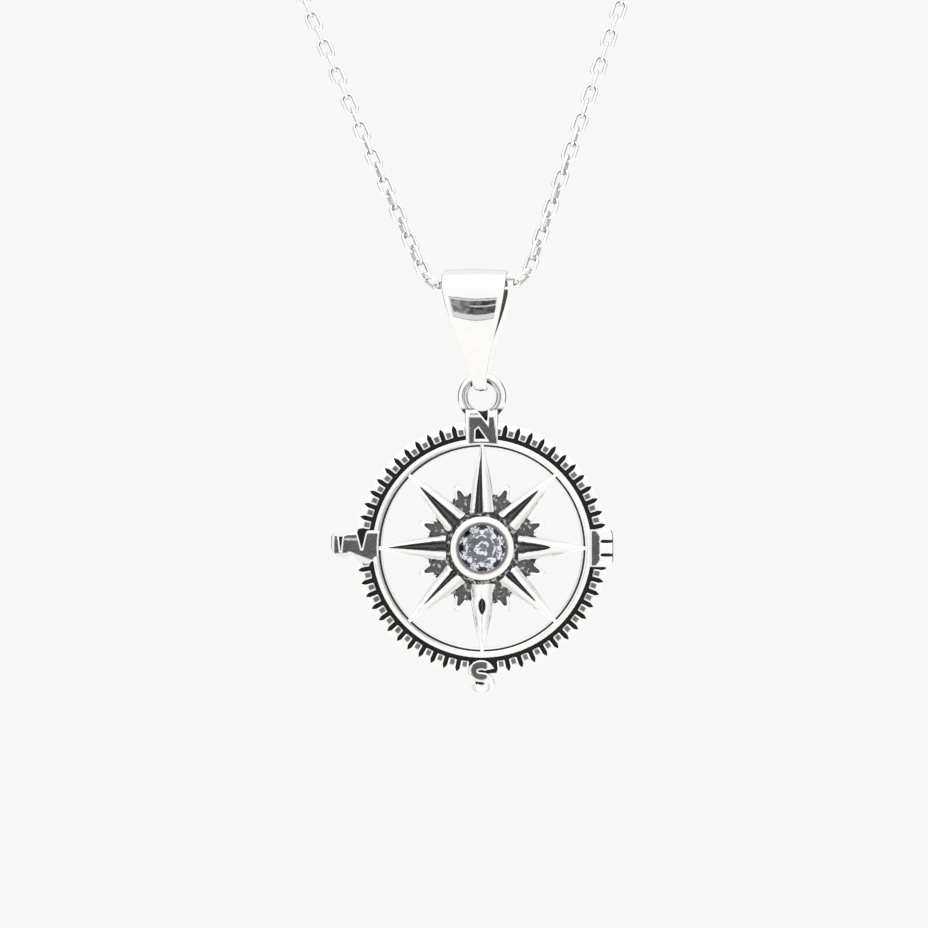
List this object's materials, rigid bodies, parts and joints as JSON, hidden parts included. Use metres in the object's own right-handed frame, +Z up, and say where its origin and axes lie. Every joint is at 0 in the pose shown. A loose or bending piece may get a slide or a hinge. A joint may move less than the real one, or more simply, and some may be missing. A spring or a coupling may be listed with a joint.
{
  "type": "compass pendant necklace",
  "caption": "Open compass pendant with toothed rim, cardinal letters, raised star and bezel-set round stone, hung by a tapered bail on a looped cable chain.",
  "frame": {"origin": "middle of the neck opening, level with the sides of the neck", "axes": "+Z up, the compass faces -Y, +X to the viewer's right"},
  "size_m": [0.1017, 0.0998, 0.1689],
  "materials": {
    "chain_silver": "polished sterling silver",
    "clasp_silver": "polished sterling silver",
    "bail_silver": "polished sterling silver",
    "compass_silver": "polished sterling silver with blackened recesses",
    "stone": "clear colourless brilliant cut"
  },
  "bodies": {
    "chain": {"chain_front": "chain_silver", "chain_back": "chain_silver", "clasp": "clasp_silver"},
    "bail": {"bail": "bail_silver"},
    "pendant": {"compass": "compass_silver", "stone": "stone"}
  },
  "joints": [
    {"name": "bail_swing", "type": "hinge", "parent": "chain", "child": "bail", "pos_m": [0.005, -0.046, -0.121], "axis": [0.9944, -0.0957, 0.0454], "range_deg": [-90, 90]},
    {"name": "pendant_sway", "type": "hinge", "parent": "bail", "child": "pendant", "pos_m": [0.0054, -0.04604, -0.1299], "axis": [0, 1, 0], "range_deg": [-85, 85]}
  ]
}
